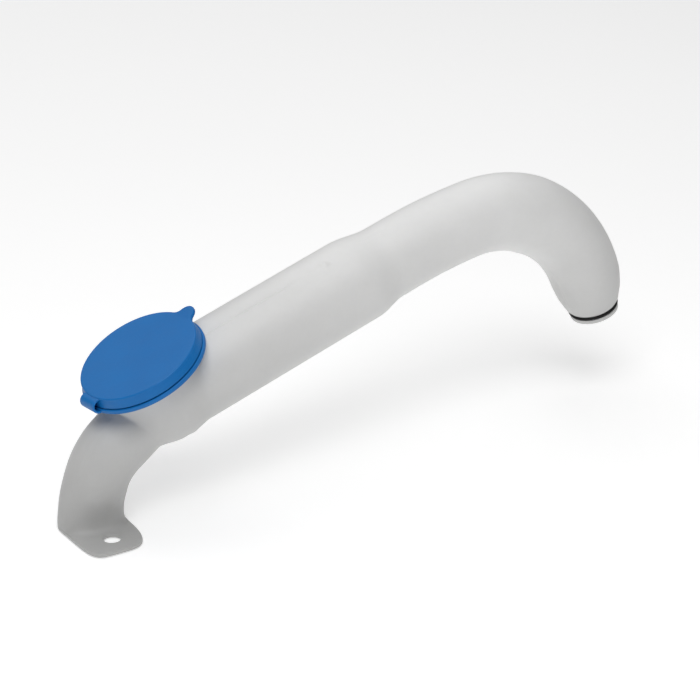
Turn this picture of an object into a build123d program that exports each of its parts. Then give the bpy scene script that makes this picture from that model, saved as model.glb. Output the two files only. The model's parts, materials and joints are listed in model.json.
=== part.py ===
from build123d import *
from math import asin, cos, degrees, radians, sin
import os

# Washer-fluid filler neck with a hinged snap cap.
# Millimetres, +Z up.  The origin is the centre of the foot's bolt hole, on the underside of the foot.
# The neck's centreline lies in the plane y = neck_offset; +X runs from the foot towards the outlet.

# ---- driving dimensions ----
wall = 1.8               # blow-moulded wall
neck_offset = 22.0       # from the bolt hole to the plane of the neck's centreline

foot_hole = 8.4          # clearance hole for an M8 bolt
foot_thickness = 1.6     # two walls pinched and welded together
foot_width = 33.0
foot_shift = -0.5        # middle of the foot from the bolt hole in x
foot_toe = 13.7          # from the hole to the front edge
foot_corner = 12.0
foot_heel_depth = 12.3   # half depth of the arm where it is pinched to the foot
foot_pinch_height = 22.0 # the arm is round again above this height

arm_diameter = 33.5      # the arm's upper run
arm_lower_diameter = 31.8
arm_offset = 1.2         # the arm's upright axis, beyond the bolt hole in x
arm_bend_start = 11.2    # height where the arm's bend begins
arm_bend_radius = 37.2
arm_slope = 37.6         # slope of the arm's upper run
arm_run = 34.1           # from the bend to the middle of the head

tube_diameter = 45.9
head_diameter = 48.6     # rounded end of the tube, under the mouth
tube_slope = 18.1
tube_length = 116.3      # wide tube, from the middle of the head to the step
step_length = 20.8
lower_tube_diameter = 40.1
lower_tube_length = 9.9
lead_radius = 296.0      # gentle bend that leads into the elbow
lead_turn = 8.8
elbow_radius = 73.0      # centreline of the bend to the outlet
elbow_swell = 43.4       # diameter where the elbow is widest
elbow_swell_share = 0.4  # how far round the elbow that is
leg_diameter = 38.8      # end of the elbow
outlet_slope = 70.9      # the outlet points this far below level
leg_taper_length = 9.0
leg_taper_diameter = 35.6
leg_length = 17.9        # from the elbow to the outlet's shoulder

spigot_diameter = 27.2
spigot_length = 5.6
spigot_wall = 1.5        # under the groove
seal_section = 2.2       # the O-ring's own thickness
seal_stand = 0.5         # how far the O-ring stands out of its groove
seal_from_shoulder = 2.0 # shoulder to the middle of the groove
groove_clearance = 0.05

cap_tilt = 27.4          # the cap's face from level
cap_clocking = 4.5       # the cap is turned this far about the mouth from the neck's plane
cap_height = 27.2        # from the middle of the head up to the cap's face
cap_setback = 1.4        # the mouth's axis lies this far behind the middle of the head
mouth_diameter = 51.2    # outside of the mouth's collar
mouth_rim_depth = 2.0    # below the cap's face
collar_depth = 11.0      # the collar is straight down to here
bead_height = 1.4        # the snap bead round the mouth
bead_top_depth = 4.4
bead_width = 2.0

lid_overhang = 5.4       # from the mouth's collar out to the lid's edge
lid_thickness = 1.6
lid_edge = 0.9
lid_skirt_flare = 0.5
lid_skirt_depth = 5.5
skirt_wall = 1.3
tab_overhang = 5.6       # from the lid's edge to the tip of the pull tab
tab_nose_radius = 5.0
tab_thickness = 1.6
tab_root_fillet = 5.0

ring_overhang = 2.4      # from the lid's edge out to the ring's edge
ring_top_depth = 5.8
ring_bottom_depth = 8.0
ring_floor = 1.3
ring_band = 1.4          # upstanding band round the ring's edge
ring_clearance = 0.3     # ring to the neck's collar, bead and shoulder
ring_collar_wall = 1.3
ring_collar_top = 3.4
ring_edge = 0.5          # rounding of the ring's outer edge

strap_width = 12.6
strap_thickness = 1.1
strap_drop = 0.5         # below the lid's face
strap_overhang = 1.2     # from the lid's edge to where the strap curls down
strap_foot_rise = 0.1    # above the ring's underside
strap_gap = 0.4          # between the two halves, at the fold
hinge_clearance = 0.1    # the fold line lies this far outside the band

# ---- the neck's centreline ----
arm_radius = arm_diameter / 2
arm_lower_radius = arm_lower_diameter / 2
tube_radius = tube_diameter / 2
lower_tube_radius = lower_tube_diameter / 2
mouth_radius = mouth_diameter / 2
spigot_radius = spigot_diameter / 2
lid_radius = mouth_radius + lid_overhang
ring_radius = lid_radius + ring_overhang
tab_reach = lid_radius + tab_overhang
strap_reach = lid_radius + strap_overhang
bead_radius = mouth_radius + bead_height
seal_radius = spigot_radius + seal_stand - seal_section / 2
groove_radius = seal_radius - seal_section / 2 - groove_clearance
shelf = -ring_bottom_depth - ring_clearance

neck_plane = Plane((0, neck_offset, 0), x_dir=(1, 0, 0), z_dir=(0, -1, 0))


def arm_point(turn):
    """Centre of the arm where its bend has turned this far from upright."""
    x = arm_offset + arm_bend_radius * (1 - cos(radians(turn)))
    z = arm_bend_start + arm_bend_radius * sin(radians(turn))
    return Vector(x, neck_offset, z)


def heading(slope):
    """Direction in the neck's plane that climbs at this slope towards +X."""
    return Vector(cos(radians(slope)), 0, sin(radians(slope)))


pinch_turn = degrees(asin((foot_pinch_height - arm_bend_start) / arm_bend_radius))
arm_turn = 90 - arm_slope
head = arm_point(arm_turn) + heading(arm_slope) * arm_run
lead_start = head + heading(tube_slope) * (tube_length + step_length + lower_tube_length)
lead_centre = lead_start - heading(tube_slope + 90) * lead_radius
elbow_slope = tube_slope - lead_turn
elbow_start = lead_centre + heading(elbow_slope + 90) * lead_radius
elbow_turn = elbow_slope + outlet_slope
elbow_centre = elbow_start - heading(elbow_slope + 90) * elbow_radius
elbow_end = elbow_centre + heading(90 - outlet_slope) * elbow_radius
cap_centre = head + heading(cap_tilt + 90) * cap_height - heading(cap_tilt) * cap_setback

tube_section = Plane(head, x_dir=heading(tube_slope), z_dir=(0, -1, 0))
outlet_section = Plane(elbow_end, x_dir=heading(-outlet_slope), z_dir=(0, -1, 0))
cap_forward = heading(cap_tilt) * cos(radians(cap_clocking)) + Vector(0, sin(radians(cap_clocking)), 0)
cap_plane = Plane(cap_centre, x_dir=cap_forward, z_dir=heading(cap_tilt + 90))
cap_section = Plane(cap_centre, x_dir=cap_forward, z_dir=cap_forward.cross(heading(cap_tilt + 90)))
cap_axis = Axis(cap_centre, heading(cap_tilt + 90))
tube_axis = Axis(head, heading(tube_slope))
outlet_axis = Axis(elbow_end, heading(-outlet_slope))


def turned(plane, axis, outline, mode):
    """Adds, or cuts, the solid that a closed outline sweeps round an axis."""
    with BuildSketch(plane) as profile:
        with BuildLine():
            Polyline(*outline, close=True)
        make_face()
    revolve(profile.sketch, axis=axis, mode=mode)


def ring_section(centre, slope, radius):
    """A round cross-section of the neck where its centreline climbs at this slope."""
    with BuildSketch(Plane(centre, x_dir=(0, 1, 0), z_dir=heading(slope))) as section:
        Circle(radius)
    return section.sketch


def bend(start, slope, radius, turn, first_radius, last_radius, mode):
    """One bend of the neck, whose bore changes evenly from its first to its last radius."""
    with BuildLine(neck_plane) as path:
        tangent = heading(slope)
        arc = JernArc((start.X, start.Z), (tangent.X, tangent.Z), radius, -turn)
    end = arc @ 1
    sections = [ring_section(start, slope, first_radius), ring_section(end, slope - turn, last_radius)]
    sweep(sections, path=path.line, multisection=True, mode=mode)
    return end


def neck_arm(inset, floor, mode):
    """The arm: round above, pinched towards its back where it meets the foot."""
    heel_centre = (foot_shift, neck_offset + arm_lower_radius - foot_heel_depth)
    lower = arm_lower_radius - inset
    upper = arm_radius - inset
    with BuildSketch(Plane.XY.offset(floor)) as heel:
        with Locations(heel_centre):
            Ellipse(foot_width / 2 - inset, foot_heel_depth - inset)
    loft([heel.sketch, ring_section(arm_point(pinch_turn), 90 - pinch_turn, lower)], mode=mode)
    bend(arm_point(pinch_turn), 90 - pinch_turn, arm_bend_radius, arm_turn - pinch_turn, lower, upper, mode)
    extrude(ring_section(arm_point(arm_turn), arm_slope, upper), amount=arm_run, mode=mode)


def neck_tube(inset, mode):
    """The wide tube, its step, the narrower tube, the gentle lead and the swollen elbow."""
    wide = tube_radius - inset
    narrow = lower_tube_radius - inset
    step_end = tube_length + step_length
    tube_end = step_end + lower_tube_length
    outline = [(0, 0), (0, wide), (tube_length, wide), (step_end, narrow), (tube_end, narrow), (tube_end, 0)]
    turned(tube_section, tube_axis, outline, mode)
    bend(lead_start, tube_slope, lead_radius, lead_turn, narrow, narrow, mode)
    swell_turn = elbow_turn * elbow_swell_share
    swell = elbow_swell / 2 - inset
    swell_point = bend(elbow_start, elbow_slope, elbow_radius, swell_turn, narrow, swell, mode)
    bend(swell_point, elbow_slope - swell_turn, elbow_radius, elbow_turn - swell_turn,
         swell, leg_diameter / 2 - inset, mode)


def neck_head(inset, top, mode):
    """The rounded end of the tube, opening upwards into the mouth's collar."""
    ball = head_diameter / 2 - inset
    collar = mouth_radius - inset
    with BuildSketch(cap_section) as profile:
        with BuildLine():
            arc = CenterArc((0, -cap_height), ball, -90, 90)
            Polyline(arc @ 1, (collar, -collar_depth), (collar, top), (0, top), arc @ 0)
        make_face()
    revolve(profile.sketch, axis=cap_axis, mode=mode)


with BuildPart() as filler_neck:
    neck_arm(0, 0, Mode.ADD)
    neck_tube(0, Mode.ADD)
    neck_head(0, shelf, Mode.ADD)
    # the leg tapers to a rounded shoulder, then the spigot
    shoulder = spigot_radius + wall / 2
    leg_outline = [
        (0, 0),
        (0, leg_diameter / 2),
        (leg_taper_length, leg_taper_diameter / 2),
        (leg_length, shoulder),
        (leg_length, spigot_radius),
        (leg_length + spigot_length, spigot_radius),
        (leg_length + spigot_length, 0),
    ]
    turned(outlet_section, outlet_axis, leg_outline, Mode.ADD)
    # a flat shelf under the cap's ring, where the mouth's collar starts
    shelf_radius = strap_reach + ring_bottom_depth
    shelf_outline = [(0, shelf), (shelf_radius, shelf), (shelf_radius, 0), (0, 0)]
    turned(cap_section, cap_axis, shelf_outline, Mode.SUBTRACT)
    # the pinched foot in front of the arm
    foot_back = neck_offset + arm_lower_radius - foot_heel_depth
    with BuildSketch(Plane.XY):
        with Locations((foot_shift, (foot_back - foot_toe) / 2)):
            foot = Rectangle(foot_width, foot_back + foot_toe)
        fillet(foot.vertices().group_by(Axis.Y)[0], foot_corner)
    extrude(amount=foot_thickness)
    # one cavity, open at the mouth and at the outlet
    neck_arm(wall, foot_thickness, Mode.SUBTRACT)
    neck_tube(wall, Mode.SUBTRACT)
    neck_head(wall, 0, Mode.SUBTRACT)
    bore = groove_radius - spigot_wall
    leg_bore = [
        (0, 0),
        (0, leg_diameter / 2 - wall),
        (leg_taper_length, leg_taper_diameter / 2 - wall),
        (leg_length - wall, bore),
        (leg_length + 2 * spigot_length, bore),
        (leg_length + 2 * spigot_length, 0),
    ]
    turned(outlet_section, outlet_axis, leg_bore, Mode.SUBTRACT)
    groove_start = leg_length + seal_from_shoulder - seal_section / 2 - groove_clearance
    groove_end = leg_length + seal_from_shoulder + seal_section / 2 + groove_clearance
    groove_outline = [
        (groove_start, groove_radius),
        (groove_end, groove_radius),
        (groove_end, spigot_radius + wall),
        (groove_start, spigot_radius + wall),
    ]
    turned(outlet_section, outlet_axis, groove_outline, Mode.SUBTRACT)
    with Locations((0, 0, foot_thickness)):
        Hole(foot_hole / 2)

# the thin collar of the same moulding, with the snap bead, stands on the neck's shelf
with BuildPart() as mouth_collar:
    bead_bottom = -bead_top_depth - bead_width
    collar_outline = [
        (mouth_radius - wall, shelf),
        (mouth_radius, shelf),
        (mouth_radius, bead_bottom),
        (bead_radius, bead_bottom),
        (bead_radius, bead_bottom + bead_width / 2),
        (mouth_radius, -bead_top_depth),
        (mouth_radius, -mouth_rim_depth),
        (mouth_radius - wall, -mouth_rim_depth),
    ]
    turned(cap_section, cap_axis, collar_outline, Mode.ADD)

with BuildPart() as outlet_seal:
    with BuildSketch(outlet_section) as seal_profile:
        with Locations((leg_length + seal_from_shoulder, seal_radius)):
            Circle(seal_section / 2)
    revolve(seal_profile.sketch, axis=outlet_axis)

with BuildPart() as cap_ring:
    ring_inner = mouth_radius + ring_clearance
    collar_inner = bead_radius + ring_clearance
    floor_top = ring_floor - ring_bottom_depth
    ring_outline = [
        (ring_inner, -ring_bottom_depth),
        (ring_radius, -ring_bottom_depth),
        (ring_radius, -ring_top_depth),
        (ring_radius - ring_band, -ring_top_depth),
        (ring_radius - ring_band, floor_top),
        (collar_inner + ring_collar_wall, floor_top),
        (collar_inner + ring_collar_wall, -ring_collar_top),
        (collar_inner, -ring_collar_top),
        (collar_inner, floor_top),
        (ring_inner, floor_top),
    ]
    turned(cap_section, cap_axis, ring_outline, Mode.ADD)
    fillet(cap_ring.edges().filter_by(GeomType.CIRCLE).sort_by(SortBy.RADIUS)[-2:], ring_edge)

with BuildPart() as cap_lid:
    skirt_radius = lid_radius + lid_skirt_flare
    lid_outline = [
        (0, 0),
        (lid_radius, 0),
        (skirt_radius, -lid_skirt_depth),
        (skirt_radius - skirt_wall, -lid_skirt_depth),
        (lid_radius - skirt_wall, -lid_thickness),
        (0, -lid_thickness),
    ]
    turned(cap_section, cap_axis, lid_outline, Mode.ADD)
    fillet(cap_lid.faces().sort_by(cap_axis)[-1].edges(), lid_edge)
    # the pull tab is a rounded lobe with filleted roots
    with BuildSketch(cap_plane) as tab:
        Circle(lid_radius)
        with Locations((tab_reach - tab_nose_radius, 0)):
            Circle(tab_nose_radius)
        roots = tab.vertices()
        fillet(roots, tab_root_fillet)
        Circle(lid_radius - skirt_wall, mode=Mode.SUBTRACT)
        with Locations((-lid_radius, 0)):
            Rectangle(3 * lid_radius, 3 * lid_radius, mode=Mode.SUBTRACT)
    extrude(tab.sketch, amount=-tab_thickness)

strap_top = -strap_drop - strap_thickness / 2
strap_bottom = strap_thickness / 2 + strap_foot_rise - ring_bottom_depth
strap_curl = (strap_top - strap_bottom) / 2
curl_middle = (strap_top + strap_bottom) / 2
half_gap = degrees(strap_gap / 2 / strap_curl)


def strap_half(first, last, reach, level):
    """Half of the strap: a short flat run, then a quarter of the curl."""
    inner = strap_curl - strap_thickness / 2
    outer = strap_curl + strap_thickness / 2
    with BuildSketch(cap_section) as band:
        with BuildLine():
            CenterArc((-strap_reach, curl_middle), inner, first, last - first)
            CenterArc((-strap_reach, curl_middle), outer, first, last - first)
            for angle in (first, last):
                spoke = Vector(cos(radians(angle)), sin(radians(angle)))
                near = Vector(-strap_reach, curl_middle) + spoke * inner
                far = Vector(-strap_reach, curl_middle) + spoke * outer
                Line(near, far)
        make_face()
        with Locations((-(strap_reach + reach) / 2, level)):
            Rectangle(strap_reach - reach, strap_thickness)
    extrude(band.sketch, amount=strap_width / 2, both=True)


with BuildPart() as strap_lid_half:
    strap_half(90, 180 - half_gap, lid_radius - wall, strap_top)
    with BuildSketch(cap_plane):
        Circle(lid_radius + lid_skirt_flare * (strap_drop + strap_thickness) / lid_skirt_depth)
    extrude(amount=-ring_bottom_depth, mode=Mode.SUBTRACT)

with BuildPart() as strap_ring_half:
    strap_half(180 + half_gap, 270, strap_reach - wall / 2, strap_bottom)
    with BuildSketch(cap_plane):
        Circle(ring_radius)
    extrude(amount=-ring_bottom_depth, mode=Mode.SUBTRACT)

pieces = {
    "filler_neck": filler_neck,
    "mouth_collar": mouth_collar,
    "outlet_seal": outlet_seal,
    "cap_ring": cap_ring,
    "cap_lid": cap_lid,
    "strap_lid_half": strap_lid_half,
    "strap_ring_half": strap_ring_half,
}
os.makedirs("parts", exist_ok=True)
for name, piece in pieces.items():
    piece.part.label = name
    export_step(piece.part, f"parts/{name}.step")

fold = cap_section.from_local_coords((-strap_reach - strap_curl - strap_thickness / 2 - hinge_clearance,
                                      curl_middle, 0))
print("cap centre", cap_centre, "cap normal", heading(cap_tilt + 90))
print("lid hinge", fold)
print("head", head, "elbow", elbow_start, elbow_end)
print("spigot end", elbow_end + heading(-outlet_slope) * (leg_length + spigot_length))
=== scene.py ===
import json

import bpy
import numpy as np
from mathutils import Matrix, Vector


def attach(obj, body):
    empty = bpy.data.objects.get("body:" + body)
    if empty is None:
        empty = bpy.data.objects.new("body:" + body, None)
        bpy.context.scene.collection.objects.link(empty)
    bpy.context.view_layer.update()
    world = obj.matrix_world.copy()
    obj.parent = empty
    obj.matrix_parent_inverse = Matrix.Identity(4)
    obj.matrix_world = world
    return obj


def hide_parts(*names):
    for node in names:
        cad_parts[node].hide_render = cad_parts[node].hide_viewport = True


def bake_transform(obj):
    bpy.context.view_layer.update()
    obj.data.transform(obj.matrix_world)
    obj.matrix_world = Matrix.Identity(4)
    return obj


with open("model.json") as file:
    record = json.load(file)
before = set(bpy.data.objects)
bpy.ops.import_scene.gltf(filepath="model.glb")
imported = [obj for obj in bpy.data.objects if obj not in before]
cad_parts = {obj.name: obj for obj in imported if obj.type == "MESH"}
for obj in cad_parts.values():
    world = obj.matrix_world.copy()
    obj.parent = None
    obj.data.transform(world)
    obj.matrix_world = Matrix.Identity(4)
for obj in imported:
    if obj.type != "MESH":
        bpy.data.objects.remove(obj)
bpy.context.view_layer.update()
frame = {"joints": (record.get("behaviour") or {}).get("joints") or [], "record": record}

# ---- The neck ----
# The filler neck is one hollow blow moulding in natural polyethylene: arm, head, tube, elbow and outlet leg
# in one wall, pinched flat into a foot at the bottom of the arm. It bolts to the car body by that foot, and
# its spigot pushes into the reservoir.

MM = 0.001
WALL = 1.8

mounts = {mount["name"]: mount for mount in frame["record"]["mounts"]}
joints = {joint["name"]: joint for joint in frame["joints"]}
PLANE_Y = mounts["outlet_spigot"]["pos_m"][1] / MM     # the mould's parting plane
SPIGOT_RADIUS = mounts["outlet_spigot"]["dims"]["r_mm"]
HOLE_RADIUS = mounts["foot_bolt_hole"]["dims"]["r_mm"]

cap_centre = np.array(joints["ring_swivel"]["pos_m"]) / MM
cap_up = np.array(joints["ring_swivel"]["axis"])
cap_side = -np.array(joints["lid_hinge"]["axis"])
cap_front = np.cross(cap_side, cap_up)

ARM_X = 1.2
HEAD_TURN = 19.5
HEAD_EASE = 10.0         # the corner between arm and tube is eased over this much of each
SPIGOT_LENGTH = 5.6


def bend(radius, turn):
    """A leg of the centreline that turns evenly, as its length along the arc and its turn in degrees."""
    return radius * np.radians(turn), turn


legs = [                 # (length, turn in degrees) of the neck's centreline, from the foot up
    (11.2, 0),
    bend(37.2, 52.4),
    (34.1 - HEAD_EASE, 0),
    bend(HEAD_EASE / np.tan(np.radians(HEAD_TURN / 2)), HEAD_TURN),
    (147.0 - HEAD_EASE, 0),
    bend(296.0, 8.8),
    bend(73.0, 80.2),
    (23.5, 0),
]
leg_ends = np.cumsum([length for length, turn in legs])
BEND_TOP = leg_ends[1]
HEAD = leg_ends[3] - legs[3][0] / 2
ELBOW = leg_ends[5]
LEG = leg_ends[6]
TIP = leg_ends[7]
SHOULDER = TIP - SPIGOT_LENGTH


def centreline(s):
    """Place (x, z) and slope of the centreline at lengths s from the foot. The slope starts upright and falls
    evenly along each turn; the place is the running sum of small steps along that slope."""
    step = 0.05
    fine = np.arange(0, TIP + 1, step)
    slope = np.full_like(fine, 90.0)
    for (length, turn), end in zip(legs, leg_ends):
        slope -= turn * np.clip((fine - end + length) / length, 0, 1)
    slope = np.radians(slope)
    x = ARM_X + np.cumsum(np.cos(slope)) * step
    z = np.cumsum(np.sin(slope)) * step
    return np.interp(s, fine, x), np.interp(s, fine, z), np.interp(s, fine, slope)


def soft_max(a, b, reach):
    """The larger of a and b, rounded where they are within reach of each other."""
    near = np.clip(reach - np.abs(a - b), 0, None) / reach
    return np.maximum(a, b) + near * near * reach / 4


def soft_step(low, high, x):
    """0 below low, 1 above high, and 3t^2 - 2t^3 in between."""
    t = np.clip((x - low) / (high - low), 0, 1)
    return t * t * (3 - 2 * t)


def smoothed(x, values, width):
    """Values on an even grid x, each averaged with its neighbours under a bell curve this wide."""
    spread = np.arange(-3 * width, 3 * width + 1e-9, x[1] - x[0])
    bell = np.exp(-((spread / width) ** 2) / 2)
    padded = np.pad(values, len(bell) // 2, mode="edge")
    return np.convolve(padded, bell / bell.sum(), mode="valid")[: len(values)]


ARM_RADIUS = 16.75
TUBE_RADIUS = 22.95
SHOULDER_RADIUS = 14.6
STEP = 2.9               # the wall drops by this much, part of the way along the tube
STEP_START = HEAD + 115
STEP_END = HEAD + 138
SECTION_EASE = 1.6       # the spread of the bell curve that eases the sections' corners
SWELL = 1.1              # the arm is fuller by this much inside its bend


def tube_radius(s, angle):
    """Outer radius of the arm, tube and elbow at lengths s: straight lines between the moulding's sections,
    with their corners eased, less the step, which is long on the outside of the bends and short inside."""
    sections = [
        (0, 15.9), (24, 15.9), (BEND_TOP, ARM_RADIUS), (HEAD - 8, ARM_RADIUS),
        (HEAD - 2, TUBE_RADIUS), (ELBOW, TUBE_RADIUS),
        (ELBOW + 0.4 * (LEG - ELBOW), 21.54 + STEP), (LEG, 19.4 + STEP), (LEG + 9, 17.8 + STEP),
        (SHOULDER, SHOULDER_RADIUS + STEP),
    ]
    grid = np.arange(0, TIP, 0.25)
    radius = smoothed(grid, np.interp(grid, *np.transpose(sections)), SECTION_EASE)
    inside = (1 - np.cos(angle)) / 2
    fall = soft_step(STEP_START + 6 * inside, STEP_END - 1.5 * inside, s[:, None])
    swell = SWELL * inside**2 * np.exp(-(((s[:, None] - 12) / 10) ** 2))
    return np.interp(s, grid, radius)[:, None] - STEP * fall + swell


HEAD_DEPTH = 27.2        # the middle of the head's ball, below the cap's face
BALL_RADIUS = 24.3
BARREL_RADIUS = 25.35    # the upright barrel's, once it has widened
BARREL_WIDENS = 16.0     # over this much of its height


def head_reach(origin, ray, inset):
    """How far each ray runs to the head's wall. Below the ball's middle that is the far side of a ball, above
    it the far side of an upright barrel about the mouth's axis, which widens a little towards the mouth. The
    barrel's radius where a ray meets it is found by trying three times."""
    ball, rim = BALL_RADIUS - inset, BARREL_RADIUS - inset
    longest = 60
    from_ball = origin - (cap_centre - HEAD_DEPTH * cap_up)
    along = (from_ball * ray).sum(-1)
    room = along**2 - (from_ball**2).sum(-1) + ball**2
    to_ball = np.where(room > 0, np.sqrt(np.maximum(room, 0)) - along, 0)
    above = ((from_ball + to_ball[..., None] * ray) @ cap_up) > 0

    flat_origin = from_ball - (from_ball @ cap_up)[..., None] * cap_up
    flat_ray = ray - (ray @ cap_up)[..., None] * cap_up
    a = np.maximum((flat_ray**2).sum(-1), 1e-4)
    b = (flat_origin * flat_ray).sum(-1)
    reach = to_ball
    for _ in range(3):
        level = (from_ball + reach[..., None] * ray) @ cap_up
        wall = ball + (rim - ball) * np.clip(level / BARREL_WIDENS, 0, 1)
        inside = b * b - a * ((flat_origin**2).sum(-1) - wall**2)
        reach = np.where(inside > 0, (np.sqrt(np.maximum(inside, 0)) - b) / a, 0)
        reach = np.clip(reach, 0, longest)
    return np.where(above, reach, to_ball)


SHELF = 8.3              # the head is cut flat this far below the cap's face
SHELF_EASE = 1.0
HEAD_FILLET = 4.0        # between the head, the arm and the tube


def neck_section(s, angle, inset):
    """The neck's wall at lengths s and angles round the centreline, from 0 on the outside of the bends: the
    larger of the tube's radius and the head's reach, cut off by the flat shelf under the cap."""
    x, z, slope = (value[:, None] for value in centreline(s))
    origin = np.stack([x, np.full_like(x, PLANE_Y), z], -1)
    outward = np.stack([-np.sin(slope), np.zeros_like(x), np.cos(slope)], -1)
    ray = np.cos(angle)[..., None] * outward + np.sin(angle)[..., None] * np.array([0, 1.0, 0])
    origin = np.broadcast_to(origin, ray.shape)
    radius = soft_max(tube_radius(s, angle) - inset, head_reach(origin, ray, inset), HEAD_FILLET)
    lift = ray @ cap_up
    to_shelf = (-(SHELF + inset) - (origin - cap_centre) @ cap_up) / np.maximum(lift, 1e-3)
    to_shelf = np.where(lift > 0.05, to_shelf, 1e3)     # a ray that hardly climbs never meets the shelf
    radius = -soft_max(-radius, -to_shelf, SHELF_EASE)
    return origin, outward, radius


SEAM_ANGLE = -0.34       # the seam on the arm and tube, round from the outside of the bends
LEG_SEAM_ANGLE = 0.23    # and on the outlet leg
RIDGES = [               # (from, to, height, angle, half width) of the seams that the mould's halves leave
    (HEAD + 26, HEAD + 79, 0.42, SEAM_ANGLE, 0.45),
    (HEAD + 79, HEAD + 99, 0.08, SEAM_ANGLE, 0.6),
    (HEAD + 122, HEAD + 143, 0.14, -0.22, 0.5),
    (HEAD + 20, ELBOW + 30, 0.10, np.pi + SEAM_ANGLE, 0.5),
    (BEND_TOP - 30, HEAD - 20, 0.05, SEAM_ANGLE, 0.6),
    (ELBOW + 78, SHOULDER - 1.5, 0.40, np.pi + LEG_SEAM_ANGLE, 1.0),
]
RIDGE_FADE = 3           # half the length over which a ridge fades at its ends
NIBS = [HEAD + 24, HEAD + 101.6]        # vent marks on the seam
NIB_HEIGHT = 1.3
NIB_RADIUS = 1.7


def between_angles(angle, at):
    """How far each angle is from the one at, the shorter way round, from 0 to half a turn."""
    return np.abs((angle - at + np.pi) % (2 * np.pi) - np.pi)


def seam(s, angle, radius):
    """Height of the parting ridges and the vent marks: bells across the seam, faded at their ends."""
    rise = np.zeros_like(radius)
    for start, end, height, at, half_width in RIDGES:
        across = radius * between_angles(angle, at)
        fade = (soft_step(start - RIDGE_FADE, start + RIDGE_FADE, s)
                - soft_step(end - RIDGE_FADE, end + RIDGE_FADE, s))
        rise += height * fade[:, None] * np.exp(-((across / half_width) ** 2))
    for at in NIBS:
        across = radius * between_angles(angle, SEAM_ANGLE)
        rise += NIB_HEIGHT * np.exp(-(((s[:, None] - at) ** 2 + across**2) / NIB_RADIUS**2))
    return rise


FOOT_THICKNESS = 1.6
FILLET_HEIGHT = 14.0
FILLET_WIDTH = 8.0
EDGE = 0.5
PINCH_HEIGHT = 25
PINCH_SIDE = 0.11        # how much the arm spreads to one side and draws in at the other, of its radius
PINCH_FLAT = 0.21        # how much flatter it gets, of its radius
PINCH_BACK = 3.3         # how far its middle moves back


def pinched(s, angle, origin, outward, radius):
    """Points at a radius, with the bottom of the arm flattened towards its back, and spread to one side, as
    it nears the foot."""
    pinch = (1 - soft_step(0, PINCH_HEIGHT, s))[:, None]
    across = radius * np.cos(angle)
    across *= np.where(across > 0, 1 + PINCH_SIDE * pinch, 1 - PINCH_SIDE * pinch**3)
    deep = radius * np.sin(angle) * (1 - PINCH_FLAT * pinch) + PINCH_BACK * pinch
    points = origin + across[..., None] * outward
    points[..., 1] += deep
    return points


def foot_outline(angle):
    """The foot's outline seen from above: a superellipse with a tight left and a rounder right front corner,
    and a half ellipse round the back of the arm."""
    middle_x, middle_y = -0.5, 23.0
    left, right, front, back = 16.4, 16.8, 36.6, 14.9
    sharp = np.where(np.cos(angle) > 0, 6.0, 3.4)      # the left and the right front corner's powers
    power = np.where(np.sin(angle) < 0, 2 / sharp, 1.0)
    c, d = np.cos(angle), np.sin(angle)
    x = middle_x - np.where(c > 0, left, right) * np.sign(c) * np.abs(c) ** power
    y = middle_y + np.where(d < 0, front, back) * np.sign(d) * np.abs(d) ** power
    return np.stack([x, y], -1)


GROOVE_RADIUS = 11.85
BORE_RADIUS = 10.35
HEAD_FROM, HEAD_TO = HEAD - 30, HEAD + 40          # the stretch that the head fills


def full_turn(count):
    """Angles evenly round one turn."""
    return np.linspace(0, 2 * np.pi, count, endpoint=False)


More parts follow.
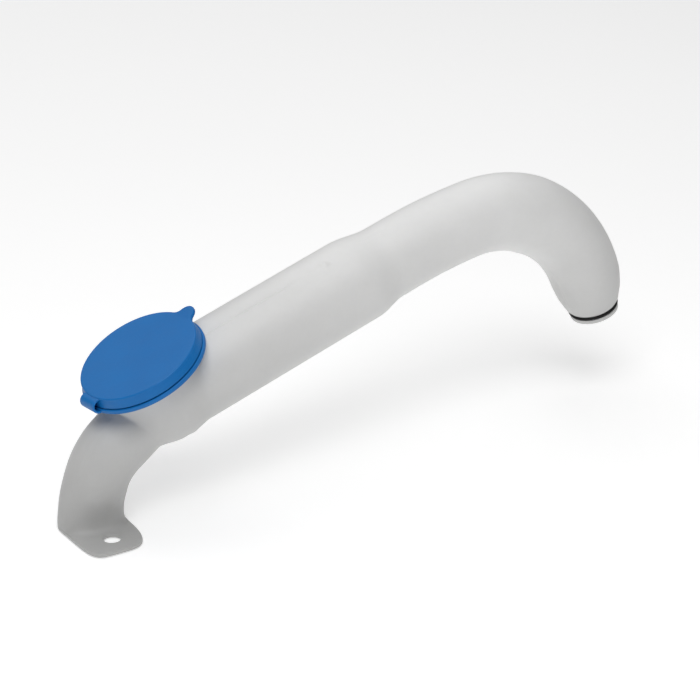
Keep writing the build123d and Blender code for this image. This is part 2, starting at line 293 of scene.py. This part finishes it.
def neck_rings():
    """Every closed ring of the neck's one skin: up the foot and the outside of the tube, round the spigot's
    end, and back down the inside."""
    turn = full_turn(168)
    turn = turn - 0.4 * np.sin(2 * turn)               # closer together along the two seams

    def angles(s):
        seam_at = SEAM_ANGLE + (LEG_SEAM_ANGLE - SEAM_ANGLE) * soft_step(HEAD + 110, ELBOW + 70, s)
        return turn + seam_at[:, None]

    fillet = FILLET_HEIGHT * (1 - np.cos(np.linspace(0, np.pi / 2, 19)))
    s = np.concatenate([FOOT_THICKNESS + fillet, np.arange(16.8, HEAD_FROM, 1.2),
                        np.arange(HEAD_FROM, HEAD_TO, 0.7), np.arange(HEAD_TO, LEG, 1.25),
                        np.arange(LEG, SHOULDER - 1, 0.7)])
    angle = angles(s)
    origin, outward, radius = neck_section(s, angle, 0)
    radius = radius + seam(s, angle, radius)
    wall = pinched(s, angle, origin, outward, radius)

    # the foot: its fillet, its flat top, its two rounded edges and its flat underside
    base = wall[0, :, :2].copy()
    outline = foot_outline(angle[0])
    gap = np.linalg.norm(outline - base, axis=-1)
    toward = (outline - base) / gap[:, None]
    width = np.minimum(FILLET_WIDTH * (1 + np.clip(2 * toward[:, 0], 0, 1)), gap)
    height = np.clip((s - FOOT_THICKNESS) / FILLET_HEIGHT, 0, 1)
    spread = 1 - np.sqrt(1 - (1 - height) ** 2)
    wall[..., :2] += (spread[:, None] * width)[..., None] * toward

    def level(points, z):
        return np.concatenate([points, np.full((len(points), 1), z)], -1)

    centre = outline.mean(0)
    inward = (centre - outline) / np.linalg.norm(centre - outline, axis=-1)[:, None]
    underside = [level(centre + (outline - centre) * share, 0) for share in (0.15, 0.4, 0.7, 0.9)]
    turn_in = np.linspace(0, np.pi / 2, 5)
    lower = [level(outline + inward * EDGE * (1 - np.sin(t)), EDGE * (1 - np.cos(t))) for t in turn_in]
    upper = [level(outline + inward * EDGE * (1 - np.cos(t)), FOOT_THICKNESS - EDGE * (1 - np.sin(t)))
             for t in turn_in]
    top_outer, top_inner = upper[-1], wall[0]
    top = [top_outer + (top_inner - top_outer) * share for share in (0.25, 0.5, 0.75)]

    def tip_ring(s_tip, radius_tip):
        at = angles(np.array([s_tip]))
        origin, outward, _ = neck_section(np.array([s_tip]), at, 0)
        ray = np.cos(at)[..., None] * outward + np.sin(at)[..., None] * np.array([0, 1.0, 0])
        return (origin + radius_tip * ray)[0]

    # the rounded shoulder, the seal's groove, the spigot's lip and its bore
    lip, groove, bore = SPIGOT_RADIUS, GROOVE_RADIUS, BORE_RADIUS
    spigot = [(SHOULDER - 0.9, SHOULDER_RADIUS + 0.15), (SHOULDER - 0.45, SHOULDER_RADIUS),
              (SHOULDER - 0.12, SHOULDER_RADIUS - 0.3), (SHOULDER, SHOULDER_RADIUS - 0.7),
              (SHOULDER, lip), (SHOULDER + 0.82, lip), (SHOULDER + 0.86, lip - 0.04),
              (SHOULDER + 0.87, groove + 0.1), (SHOULDER + 0.95, groove), (SHOULDER + 3.05, groove),
              (SHOULDER + 3.13, groove + 0.1), (SHOULDER + 3.14, lip - 0.15), (SHOULDER + 3.25, lip),
              (TIP - 0.5, lip), (TIP - 0.2, lip - 0.12), (TIP - 0.03, lip - 0.45), (TIP, lip - 0.8),
              (TIP, bore + 0.5), (TIP - 0.12, bore + 0.15), (TIP - 0.5, bore),
              (SHOULDER, bore), (SHOULDER - WALL, bore)]
    tip = [tip_ring(s_tip, radius_tip) for s_tip, radius_tip in spigot]

    # the inside of the wall, back to a rounded bottom above the foot
    s_in = np.concatenate([np.arange(SHOULDER - WALL - 2.5, HEAD_TO, -4.0),
                           np.arange(HEAD_TO, HEAD_FROM, -1.4), np.arange(HEAD_FROM, 8, -3.0),
                           [6.5, 5.0, 4.2, 3.8]])
    angle = angles(s_in)
    origin, outward, radius = neck_section(s_in, angle, WALL)
    closing = 1 - soft_step(3.6, 6.5, s_in)
    radius = radius * (1 - 0.35 * closing)[:, None]
    inner = pinched(s_in, angle, origin, outward, radius)
    return np.concatenate([underside, lower, upper, top, wall, tip, inner])


def skin(name, rings, loop=False):
    """A mesh through closed rings of points in millimetres. Each ring is joined to the next; with loop the
    last is joined to the first, and otherwise a pole closes each end. Faces look outwards."""
    rows, columns = rings.shape[:2]
    index = np.arange(rows * columns).reshape(rows, columns)
    near = index if loop else index[:-1]
    far = np.roll(index, -1, 0) if loop else index[1:]
    faces = np.stack([near, np.roll(near, -1, 1), np.roll(far, -1, 1), far], -1).reshape(-1, 4).tolist()
    points = rings.reshape(-1, 3)
    if not loop:
        first, last = len(points), len(points) + 1
        points = np.vstack([points, rings[0].mean(0), rings[-1].mean(0)])
        faces += [[first, b, a] for a, b in zip(index[0], np.roll(index[0], -1))]
        faces += [[last, a, b] for a, b in zip(index[-1], np.roll(index[-1], -1))]
    middle = points.mean(0)
    a, b = points[near], points[np.roll(near, -1, 1)]
    c, d = points[far], points[np.roll(far, -1, 1)]
    volume = (np.cross(b - a, c - a) * (a - middle)).sum() + (np.cross(c - d, b - d) * (d - middle)).sum()
    if volume < 0:
        faces = [face[::-1] for face in faces]
    mesh = bpy.data.meshes.new(name)
    mesh.from_pydata((points * MM).tolist(), [], faces)
    piece = bpy.data.objects.new(name, mesh)
    bpy.context.scene.collection.objects.link(piece)
    return piece


def smooth(piece, sharp_angle):
    """Smooth shading, with a crease where two faces meet at more than sharp_angle degrees."""
    piece.data.shade_smooth()
    piece.data.set_sharp_from_angle(angle=np.radians(sharp_angle))


def carved(piece, tool, operation):
    """Joins a closed tool to the piece, or cuts it out of the piece. The tool is then gone."""
    change = piece.modifiers.new(tool.name, "BOOLEAN")
    change.operation = operation
    change.object = tool
    change.solver = "MANIFOLD"
    result = bpy.data.meshes.new_from_object(piece.evaluated_get(bpy.context.evaluated_depsgraph_get()))
    result.materials.clear()
    piece.modifiers.clear()
    old, piece.data = piece.data, result
    bpy.data.meshes.remove(old)
    bpy.data.objects.remove(tool)


def cap_rings(outline, angle):
    """Rings about the mouth's axis through an outline of (radius, height above the cap's face)."""
    radius, height = np.transpose(outline)
    around = np.cos(angle)[:, None] * cap_front + np.sin(angle)[:, None] * cap_side
    return cap_centre + radius[:, None, None] * around + height[:, None, None] * cap_up


MOUTH_RADIUS = 25.6
BEAD_RADIUS = 27.0
RIM = -2.0               # the top of the mouth, from the cap's face
MOUTH_BORE = 23.7
ROUND = 192              # points round the mouth and the seal

neck = skin("filler_neck_moulding", neck_rings())

# the mouth's collar, with its rounded rim and the bead that the cap's ring sits under
collar = [(24.0, -9.2), (MOUTH_RADIUS, -9.2), (MOUTH_RADIUS, -6.75), (25.75, -6.5), (26.7, -6.4),
          (26.95, -6.2), (BEAD_RADIUS, -5.7), (26.85, -5.3), (25.75, -4.45), (MOUTH_RADIUS, -4.2),
          (MOUTH_RADIUS, RIM - 0.5), (25.45, RIM - 0.15), (25.1, RIM), (24.0, RIM)]
carved(neck, skin("collar", cap_rings(collar, full_turn(ROUND))), "UNION")

# The cutters are turned a little, so that their edges don't lie on those of what they cut, and the bore's
# flare runs straight on past the rim for the same reason.
bore = [(20.0, -13.5), (MOUTH_BORE, -13.5), (MOUTH_BORE, RIM - 0.6), (MOUTH_BORE + 0.1, RIM - 0.25),
        (MOUTH_BORE + 1.0, RIM + 0.5), (20.0, RIM + 1.0)]
carved(neck, skin("mouth_bore", cap_rings(bore, full_turn(ROUND) + 0.004)), "DIFFERENCE")

# the bolt hole, with both its edges eased
hole = [(HOLE_RADIUS + 1.2, -0.6), (HOLE_RADIUS + 0.6, -0.02), (HOLE_RADIUS + 0.2, 0.12), (HOLE_RADIUS, 0.5),
        (HOLE_RADIUS, 1.1), (HOLE_RADIUS + 0.2, 1.48), (HOLE_RADIUS + 0.6, 1.62), (HOLE_RADIUS + 1.2, 2.2)]
hole_angle = full_turn(96) + 0.003
hole_radius, hole_height = np.transpose(hole)
hole_rings = np.stack([hole_radius[:, None] * np.cos(hole_angle), hole_radius[:, None] * np.sin(hole_angle),
                       np.broadcast_to(hole_height[:, None], (len(hole), len(hole_angle)))], -1)
carved(neck, skin("bolt_hole", hole_rings), "DIFFERENCE")
smooth(neck, 38)


class Wire:
    """An output in a material's node tree. Arithmetic on it adds Math nodes, and node() adds any other."""

    def __init__(self, tree, socket=None):
        self.tree = tree
        self.socket = socket

    def node(self, kind, settings=None, inputs=None, output=0):
        """Adds a node of this kind: settings are its own, inputs are values or wires for its sockets."""
        made = self.tree.nodes.new(kind)
        for key, value in (settings or {}).items():
            setattr(made, key, value)
        for key, value in (inputs or {}).items():
            if isinstance(value, Wire):
                self.tree.links.new(value.socket, made.inputs[key])
            else:
                made.inputs[key].default_value = value
        return Wire(self.tree, made.outputs[output])

    def math(self, operation, first, second):
        return self.node("ShaderNodeMath", {"operation": operation}, {0: first, 1: second})

    def __add__(self, other):
        return self.math("ADD", self, other)

    def __radd__(self, other):
        return self.math("ADD", other, self)

    def __mul__(self, other):
        return self.math("MULTIPLY", self, other)

    def __rmul__(self, other):
        return self.math("MULTIPLY", other, self)

    def noise(self, scale, detail=2.0, roughness=0.5):
        """Cloudy noise from 0 to 1, with scale patches to the metre, on this vector."""
        return self.node("ShaderNodeTexNoise", {}, {"Vector": self, "Scale": scale, "Detail": detail,
                                                    "Roughness": roughness})

    def between(self, first, second):
        """A colour that goes from first, at 0, to second, at 1."""
        colours = {0: self, 6: (*first, 1), 7: (*second, 1)}
        return self.node("ShaderNodeMix", {"data_type": "RGBA"}, colours, output=2)

    def bump(self, height_mm):
        """A normal that reads this value as relief, from 0 to height_mm."""
        return self.node("ShaderNodeBump", {}, {"Height": self, "Strength": 1.0, "Distance": height_mm * MM})


def new_material(name, constants):
    """A new material, its shader with constants set on the shader's own sockets, and object coordinates."""
    material = bpy.data.materials.new(name)
    material.use_nodes = True
    shader = material.node_tree.nodes["Principled BSDF"]
    for key, value in constants.items():
        shader.inputs[key].default_value = value
    place = Wire(material.node_tree).node("ShaderNodeTexCoord", output=3)
    return material, shader, place


def feed(shader, socket, wire):
    """Links a wire to one of the shader's sockets."""
    wire.tree.links.new(wire.socket, shader.inputs[socket])


# painted shade: the neck's colour is darkened towards the foot, standing in for the shade on its lower parts
PAINTED_SHADE_HEIGHT = 0.125      # in metres: the moulding is greyest at the foot and palest this far above it


def natural_polyethylene():
    """Milky, slightly translucent polyethylene with faint clouds in the wall, the orange peel of a
    sand-blasted mould and a few rubbed, duller patches; its colour is greyed towards the foot as painted
    shade."""
    material, shader, place = new_material("natural_polyethylene", {
        "IOR": 1.52,
        "Subsurface Weight": 0.25,
        "Subsurface Radius": (0.006, 0.006, 0.0055),
        "Subsurface Scale": 0.6,
    })
    cloud = place.noise(28.0, 3.0, 0.55)
    speck = place.noise(420.0, 2.0, 0.6)
    # painted shade: the height term greys the colour towards the foot; the clouds and specks are the
    # plastic's own
    height = place.node("ShaderNodeSeparateXYZ", inputs={0: place}, output=2) * (1 / PAINTED_SHADE_HEIGHT)
    tone = height * 0.75 + cloud * 0.2 + speck * 0.05
    feed(shader, "Base Color", tone.between((0.36, 0.36, 0.355), (0.85, 0.85, 0.843)))
    feed(shader, "Roughness", 0.40 + 0.16 * place.noise(55.0, 4.0, 0.6))
    peel = place.noise(1400.0, 2.0, 0.55) * 0.6 + place.noise(170.0, 3.0, 0.5) * 0.4
    feed(shader, "Normal", peel.bump(0.06))
    return material


neck.data.materials.append(natural_polyethylene())
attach(neck, "neck")
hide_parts("filler_neck", "mouth_collar")

# ---- The outlet seal ----
# A moulded rubber O-ring in the spigot's groove. It stands half a millimetre proud, so that it squeezes in
# the reservoir's socket, and it has the fine flash line of its two-part mould.

SEAL_STATION = SHOULDER + 2.0
SEAL_RADIUS = 13.0
SEAL_SECTION = 1.1
FLASH_HEIGHT = 0.06
tip_x, tip_z, tip_slope = (float(value) for value in centreline(SEAL_STATION))
down_leg = np.array([np.cos(tip_slope), 0, np.sin(tip_slope)])
across_leg = np.array([-np.sin(tip_slope), 0, np.cos(tip_slope)])
round_section = full_turn(28)
flash_line = np.exp(-((np.sin(round_section) / 0.12) ** 2)) * (np.cos(round_section) > 0)
section_radius = SEAL_SECTION + FLASH_HEIGHT * flash_line
around_leg = full_turn(ROUND)[:, None]
seal_around = np.cos(around_leg) * across_leg + np.sin(around_leg) * np.array([0, 1.0, 0])
seal_rings = (np.array([tip_x, PLANE_Y, tip_z])
              + (SEAL_RADIUS + section_radius * np.cos(round_section))[:, None, None] * seal_around
              + (section_radius * np.sin(round_section))[:, None, None] * down_leg)
seal = skin("outlet_o_ring", seal_rings, loop=True)
smooth(seal, 60)


def seal_rubber():
    """Black nitrile rubber, slightly dusty, with a fine dull grain."""
    material, shader, place = new_material("seal_rubber", {"IOR": 1.5, "Specular IOR Level": 0.15})
    dust = place.noise(260.0, 4.0, 0.65)
    feed(shader, "Base Color", dust.between((0.006, 0.006, 0.006), (0.022, 0.022, 0.023)))
    feed(shader, "Roughness", 0.48 + 0.2 * dust)
    feed(shader, "Normal", place.noise(2600.0, 2.0, 0.5).bump(0.02))
    return material


seal.data.materials.append(seal_rubber())
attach(seal, "neck")
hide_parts("outlet_seal")

# ---- The cap's lid ----
# The lid, the strap and the ring are one injection moulding in soft blue polypropylene. The lid is a thin,
# faintly dished plate with a flared skirt that closes round the ring's collar, and a pull tab opposite the
# strap.

LID_RADIUS = 31.5
TAB_MIDDLE = 32.0        # from the lid's middle to that of the tab's round nose
TAB_NOSE = 5.3           # the nose's radius
TAB_ROOT = 5.0           # the radius of the fillets that join the tab to the lid
TAB_RISE = 1.1           # the tab curls up by this much at its tip
DISH_RADIUS = 28.5
DISH_DEPTH = 0.28
EDGE_ROUND = 0.9


def tab_edge(angle):
    """How far the tab stands out past the lid at each angle: the nose's arc, then the arc of its filleted
    root, which touches both the nose and the lid."""
    off = between_angles(angle, 0)
    root_far = LID_RADIUS + TAB_ROOT
    joined = TAB_NOSE + TAB_ROOT
    root_at = np.arccos((root_far**2 + TAB_MIDDLE**2 - joined**2) / (2 * root_far * TAB_MIDDLE))
    middle = (np.array([TAB_MIDDLE, 0]) + root_far * np.array([np.cos(root_at), np.sin(root_at)])) / 2
    nose_ends = np.arctan2(middle[1], middle[0])
    nose = TAB_MIDDLE * np.cos(off) + np.sqrt(np.maximum(TAB_NOSE**2 - (TAB_MIDDLE * np.sin(off)) ** 2, 0))
    turn = off - root_at
    root = root_far * np.cos(turn) - np.sqrt(np.maximum(TAB_ROOT**2 - (root_far * np.sin(turn)) ** 2, 0))
    edge = np.where(off < nose_ends, nose, np.where(off < root_at, root, LID_RADIUS))
    return edge - LID_RADIUS


def lid_rings():
    """Rings of the lid's skin from the middle of its top to the middle of its underside. Each row of the list
    is (radius, height, share of the tab that it carries out)."""
    turn = full_turn(320)
    angle = turn - 0.78 * np.sin(turn)                 # closer together round the tab
    top = [(r, -DISH_DEPTH * (1 - (r / DISH_RADIUS) ** 2), 0) for r in (0.6, 3, 6, 10, 14, 18, 22, 25, 27.5)]
    top += [(28.8, -0.01, 0), (29.6, 0, 0.04), (29.9, 0, 0.25), (30.1, 0, 0.5), (30.3, 0, 0.75),
            (30.45, 0, 1)]
    edge = [(LID_RADIUS - EDGE_ROUND * (1 - np.sin(t)), -EDGE_ROUND * (1 - np.cos(t)), 1)
            for t in np.linspace(0.1, np.pi / 2, 9)]
    under = [(31.54, -1.15, 1), (31.58, -1.35, 0.99), (31.6, -1.48, 0.9), (31.62, -1.53, 0.6),
             (31.64, -1.57, 0.3), (31.66, -1.62, 0.05)]
    rows = np.array(top + edge + under)
    skirt = [(31.7, -1.75), (31.76, -2.0), (31.94, -2.8), (32.16, -3.8), (32.38, -4.8), (32.45, -5.2),
             (32.4, -5.4), (32.2, -5.5), (31.5, -5.5), (31.3, -5.4), (31.2, -5.2), (30.8, -3.6),
             (30.4, -2.3), (30.2, -1.85), (29.7, -1.65), (28.5, -1.6)]
    inner = [(20, -1.65), (14, -1.75), (7, -1.85), (0.6, -1.88)]
    rows = np.vstack([rows, [(radius, height, 0) for radius, height in skirt + inner]])
    radius, height, share = rows[:, :1], rows[:, 1:2], rows[:, 2:]
    out = tab_edge(angle)
    lifted = height + TAB_RISE * share * (out / (TAB_MIDDLE + TAB_NOSE - LID_RADIUS)) ** 2
    around = np.cos(angle)[:, None] * cap_front + np.sin(angle)[:, None] * cap_side
    return cap_centre + (radius + share * out)[..., None] * around + lifted[..., None] * cap_up


lid = skin("snap_lid", lid_rings())
smooth(lid, 50)


def blue_polypropylene():
    """Blue polypropylene, satin, with the fine spark-eroded grain of its mould, flow marks in the pigment and
    faint rubbed patches."""
    material, shader, place = new_material("blue_polypropylene", {
        "IOR": 1.49,
        "Specular IOR Level": 0.3,
        "Subsurface Weight": 0.04,
        "Subsurface Radius": (0.0006, 0.0012, 0.002),
    })
    flow = place.noise(45.0, 3.0, 0.55)
    speck = place.noise(700.0, 2.0, 0.6)
    tone = flow * 0.75 + speck * 0.25
    feed(shader, "Base Color", tone.between((0.002, 0.125, 0.40), (0.006, 0.178, 0.52)))
    feed(shader, "Roughness", 0.36 + 0.18 * place.noise(90.0, 4.0, 0.6))
    grain = place.noise(2200.0, 2.0, 0.55) * 0.75 + place.noise(160.0, 2.0, 0.5) * 0.25
    feed(shader, "Normal", grain.bump(0.035))
    return material


cap_blue = blue_polypropylene()
lid.data.materials.append(cap_blue)
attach(lid, "lid")
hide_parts("cap_lid")

# ---- The cap's ring ----
# The ring snaps over the mouth's bead and turns freely under it. Its floor carries a low band at the outer
# edge and a collar inside, and the lid's skirt comes down round the collar to just above the band.

ring_floor = [(25.95, -8.1), (26.1, -8.2), (32.8, -8.2), (33.15, -8.1)]
ring_band = [(33.33, -7.9), (33.38, -7.6), (33.38, -6.45), (33.3, -6.1), (33.1, -5.94), (32.8, -5.9),
             (32.3, -5.9), (32.1, -5.97), (32.0, -6.1), (32.0, -6.6), (31.9, -6.76), (31.7, -6.8)]
ring_collar = [(28.9, -6.8), (28.68, -6.7), (28.6, -6.5), (28.6, -3.7), (28.5, -3.47), (28.3, -3.4),
               (27.6, -3.4), (27.38, -3.47), (27.3, -3.7), (27.3, -6.6), (27.2, -6.78), (27.0, -6.8)]
ring_lip = [(26.1, -6.8), (25.95, -6.9)]
ring_outline = ring_floor + ring_band + ring_collar + ring_lip
ring = skin("retaining_ring", cap_rings(ring_outline, full_turn(288)), loop=True)
smooth(ring, 50)
ring.data.materials.append(cap_blue)
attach(ring, "ring")
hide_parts("cap_ring")

# ---- The strap ----
# The strap is a flat band of the same moulding, curled from the lid's edge down to the ring. It is the hinge.

STRAP_REACH = 32.2
STRAP_CURL = 3.15
STRAP_MIDDLE = -4.2
STRAP_WIDTH = 12.6
STRAP_THICKNESS = 1.1


def strap_rings():
    """Rings of a rounded flat section carried along a C: a short run out of the lid, a half circle and a
    short run into the ring."""
    curl = np.linspace(np.pi / 2, 3 * np.pi / 2, 49)
    run_in = np.array([[x, STRAP_CURL] for x in (-29.6, -30.4, -31.3)])
    arc = np.stack([-STRAP_REACH + STRAP_CURL * np.cos(curl), STRAP_CURL * np.sin(curl)], -1)
    run_out = np.array([[x, -STRAP_CURL] for x in (-31.3, -30.6, -29.9)])
    path = np.concatenate([run_in, arc, run_out])
    heading = np.gradient(path, axis=0)
    heading /= np.linalg.norm(heading, axis=-1)[:, None]
    normal = np.stack([heading[:, 1], -heading[:, 0]], -1)

    corner = np.linspace(0, np.pi / 2, 6)
    edge = 0.4
    half_width, half_thick = STRAP_WIDTH / 2 - edge, STRAP_THICKNESS / 2 - edge
    quarter = [(half_width + edge * np.cos(t), half_thick + edge * np.sin(t)) for t in corner]
    top = quarter + [(half_width * share, STRAP_THICKNESS / 2) for share in (0.6, 0.2, -0.2, -0.6)]
    section = np.array(top + [(-a, b) for a, b in quarter[::-1]])
    section = np.concatenate([section, -section])
    across, through = section[:, 0], section[:, 1]
    spine = cap_centre + path[:, :1] * cap_front + (path[:, 1:] + STRAP_MIDDLE) * cap_up
    out = normal[:, :1] * cap_front + normal[:, 1:] * cap_up
    return spine[:, None] + across[None, :, None] * cap_side + through[None, :, None] * out[:, None]


strap = skin("hinge_strap", strap_rings())
smooth(strap, 50)
strap.data.materials.append(cap_blue)
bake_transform(strap)
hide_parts("strap_ring_half", "strap_lid_half")

# ---- The stage ----
# A plain pale floor under the foot, the camera, and two soft lights: one above the camera, and a larger one
# high up behind the neck.


def stage_floor():
    """A wide, pale, square floor, in metres, just under the foot."""
    half, level = 6.0, -0.0005
    corners = [(-half, -half, level), (half, -half, level), (half, half, level), (-half, half, level)]
    mesh = bpy.data.meshes.new("floor")
    mesh.from_pydata(corners, [], [(0, 1, 2, 3)])
    floor = bpy.data.objects.new("floor", mesh)
    bpy.context.scene.collection.objects.link(floor)
    material, shader, place = new_material("pale_floor", {
        "Roughness": 0.9,
        "Specular IOR Level": 0.1,
        "Emission Color": (1, 1, 1, 1),
        "Emission Strength": 0.3,
    })
    feed(shader, "Base Color", place.noise(3.0).between((0.86, 0.86, 0.86), (0.88, 0.88, 0.88)))
    floor.data.materials.append(material)


def soft_box(name, place, aim, size, power):
    """A square area light at a place, in metres, turned to face its aim."""
    lamp = bpy.data.lights.new(name, "AREA")
    lamp.size = size
    lamp.energy = power
    light = bpy.data.objects.new(name, lamp)
    light.location = place
    light.rotation_mode = "QUATERNION"
    light.rotation_quaternion = (Vector(aim) - Vector(place)).to_track_quat("-Z", "Y")
    bpy.context.scene.collection.objects.link(light)


stage_floor()
AZIMUTH, ELEVATION = np.radians(-32.738), np.radians(22.429)
DISTANCE = 1.2
target = Vector((0.152807, 0.022, 0.059861))
back = Vector((np.sin(AZIMUTH) * np.cos(ELEVATION), -np.cos(AZIMUTH) * np.cos(ELEVATION), np.sin(ELEVATION)))
lens = bpy.data.cameras.new("camera")
lens.sensor_width = 36.0
lens.lens = 118.37
camera = bpy.data.objects.new("camera", lens)
camera.location = target + back * DISTANCE
camera.rotation_mode = "QUATERNION"
camera.rotation_quaternion = (-back).to_track_quat("-Z", "Y")
bpy.context.scene.collection.objects.link(camera)
bpy.context.scene.camera = camera

soft_box("front_light", target + back * 0.9 + Vector((0, 0, 0.9)), target, 0.9, 12)
soft_box("top_light", target + Vector((0, 1.2, 2.6)), target, 4.0, 52)
world = bpy.data.worlds.new("studio")
world.use_nodes = True
background = world.node_tree.nodes["Background"]
background.inputs["Color"].default_value = (1, 1, 1, 1)
background.inputs["Strength"].default_value = 0.12
bpy.context.scene.world = world
bpy.context.scene.view_settings.view_transform = "Standard"
